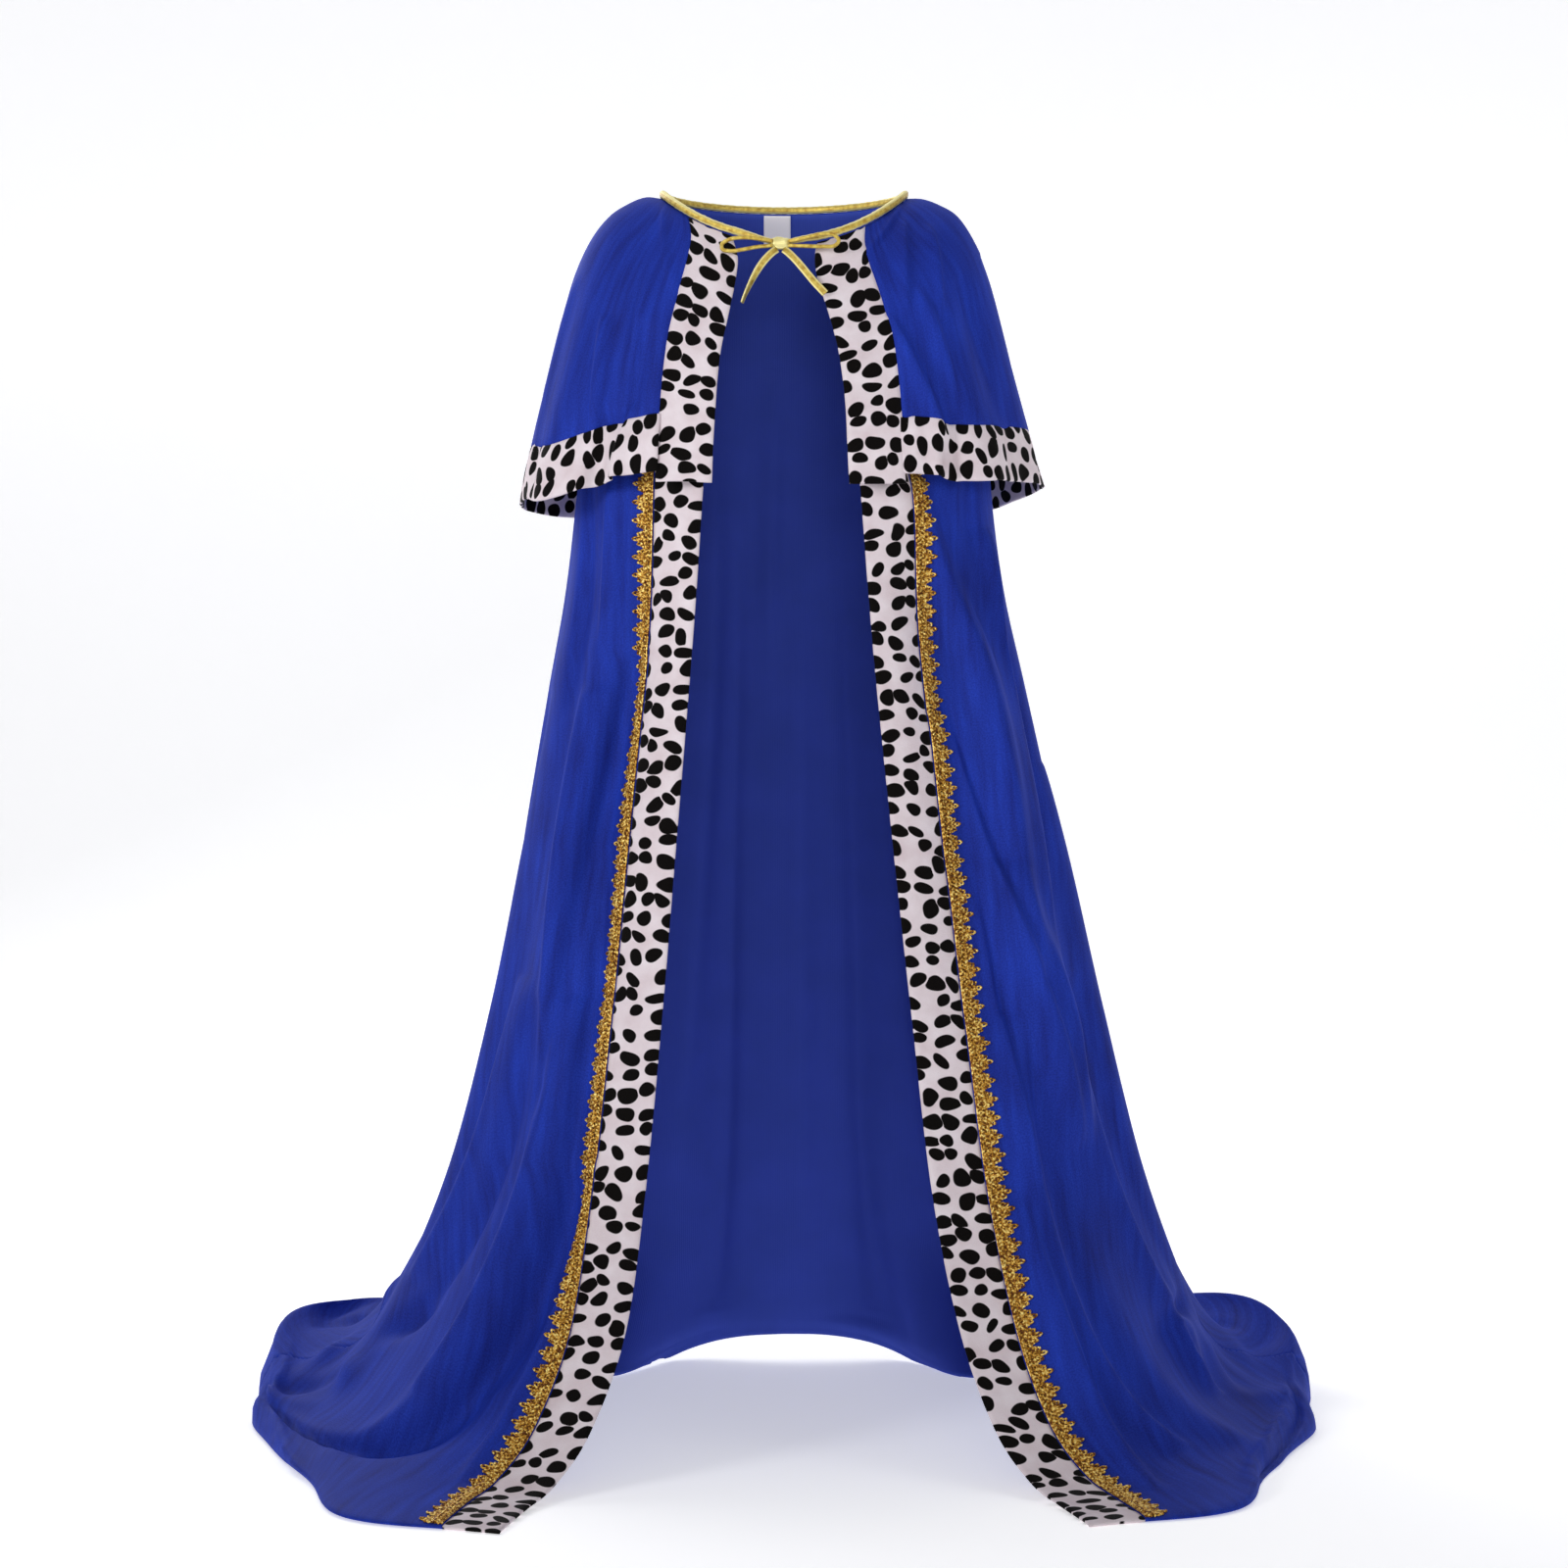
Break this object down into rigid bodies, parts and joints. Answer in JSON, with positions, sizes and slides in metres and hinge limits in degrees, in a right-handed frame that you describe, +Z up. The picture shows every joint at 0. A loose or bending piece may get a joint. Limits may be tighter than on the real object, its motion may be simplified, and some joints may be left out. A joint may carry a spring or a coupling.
{
  "type": "king cape",
  "caption": "Long velvet dress-up cape worn open, with shoulder capelet, spotted plush bands, gold lace and gold neck tie; flares out over the floor.",
  "frame": {"origin": "middle of the neck opening at the height of its side points, where the wearer's shoulders carry the cape", "axes": "+Z up, +Y towards the wearer's back, +X towards the wearer's left; the hem lies on a floor 1.113 m below the origin"},
  "size_m": [0.9755, 0.689, 1.1142],
  "materials": {
    "velvet": "royal blue knitted velvet with a short shiny pile, navy matte reverse",
    "spotted_plush": "short white plush printed with black oval spots",
    "gold_lace": "scalloped metallic gold lace braid",
    "gold_binding": "pale gold lame bias binding",
    "label_tape": "blank white satin tape"
  },
  "bodies": {
    "root": {"cape_back": "velvet", "cape_front_right": "velvet", "cape_front_left": "velvet", "front_band_right": "spotted_plush", "front_band_left": "spotted_plush", "gold_lace_right": "gold_lace", "gold_lace_left": "gold_lace", "capelet": "velvet", "capelet_hem_band": "spotted_plush", "capelet_front_band_right": "spotted_plush", "capelet_front_band_left": "spotted_plush", "neck_binding": "gold_binding", "tie_knot": "gold_binding", "tie_loop_right": "gold_binding", "tie_loop_left": "gold_binding", "tie_tail_right": "gold_binding", "tie_tail_left": "gold_binding", "label": "label_tape"}
  },
  "joints": []
}
